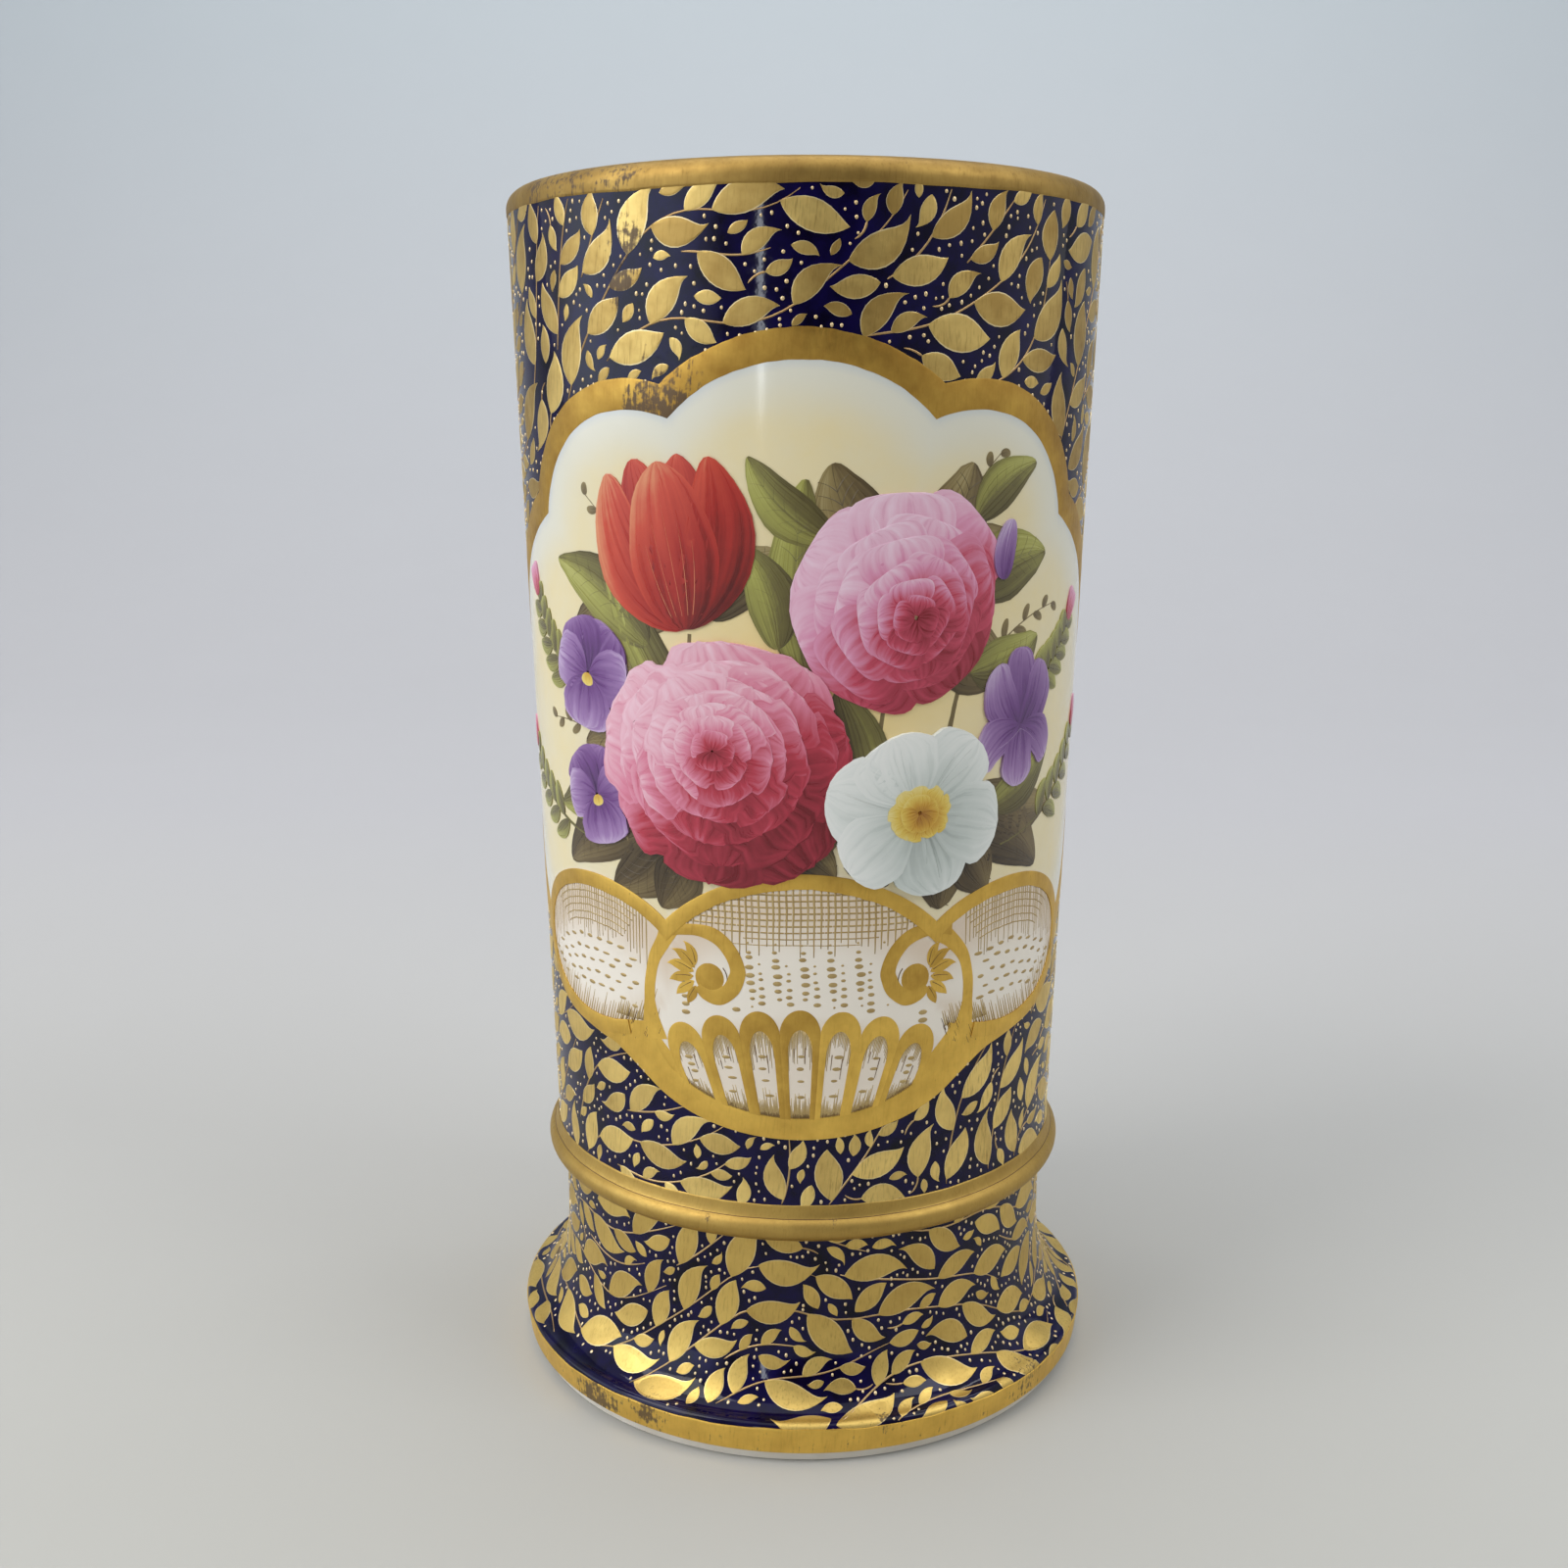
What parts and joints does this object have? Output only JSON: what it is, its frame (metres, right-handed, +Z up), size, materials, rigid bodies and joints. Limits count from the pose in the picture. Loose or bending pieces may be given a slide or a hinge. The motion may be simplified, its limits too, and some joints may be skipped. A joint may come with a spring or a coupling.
{
  "type": "spill vase",
  "caption": "Porcelain spill vase: slightly flared open cylinder on a spreading hollow foot with a bead, blue ground, lobed painted panel and gilt foliage, for holding spills on a mantelpiece.",
  "frame": {"origin": "centre of the foot ring on the plane that the vase stands on", "axes": "+Z up along the turning axis towards the lip, the painted panel faces -Y"},
  "size_m": [0.066, 0.066, 0.1272],
  "materials": {
    "porcelain": "fired unglazed porcelain",
    "clear_glaze": "glossy clear glaze",
    "cobalt_glaze": "glossy deep blue glaze",
    "cream_enamel": "glossy cream enamel",
    "gilding": "satin burnished gilding"
  },
  "bodies": {
    "root": {"body_cylinder": "porcelain", "spreading_foot": "porcelain", "luting_slip": "porcelain", "lining_glaze": "clear_glaze", "hollow_glaze": "clear_glaze", "cobalt_ground_wall": "cobalt_glaze", "cobalt_ground_foot": "cobalt_glaze", "reserve_panel": "cream_enamel", "rim_gilding": "gilding", "bead_gilding": "gilding", "foot_gilding": "gilding", "panel_frame": "gilding", "basket_rim": "gilding", "basket_bowl": "gilding", "basket_gadroons": "gilding", "basket_scrolls": "gilding"}
  },
  "joints": []
}
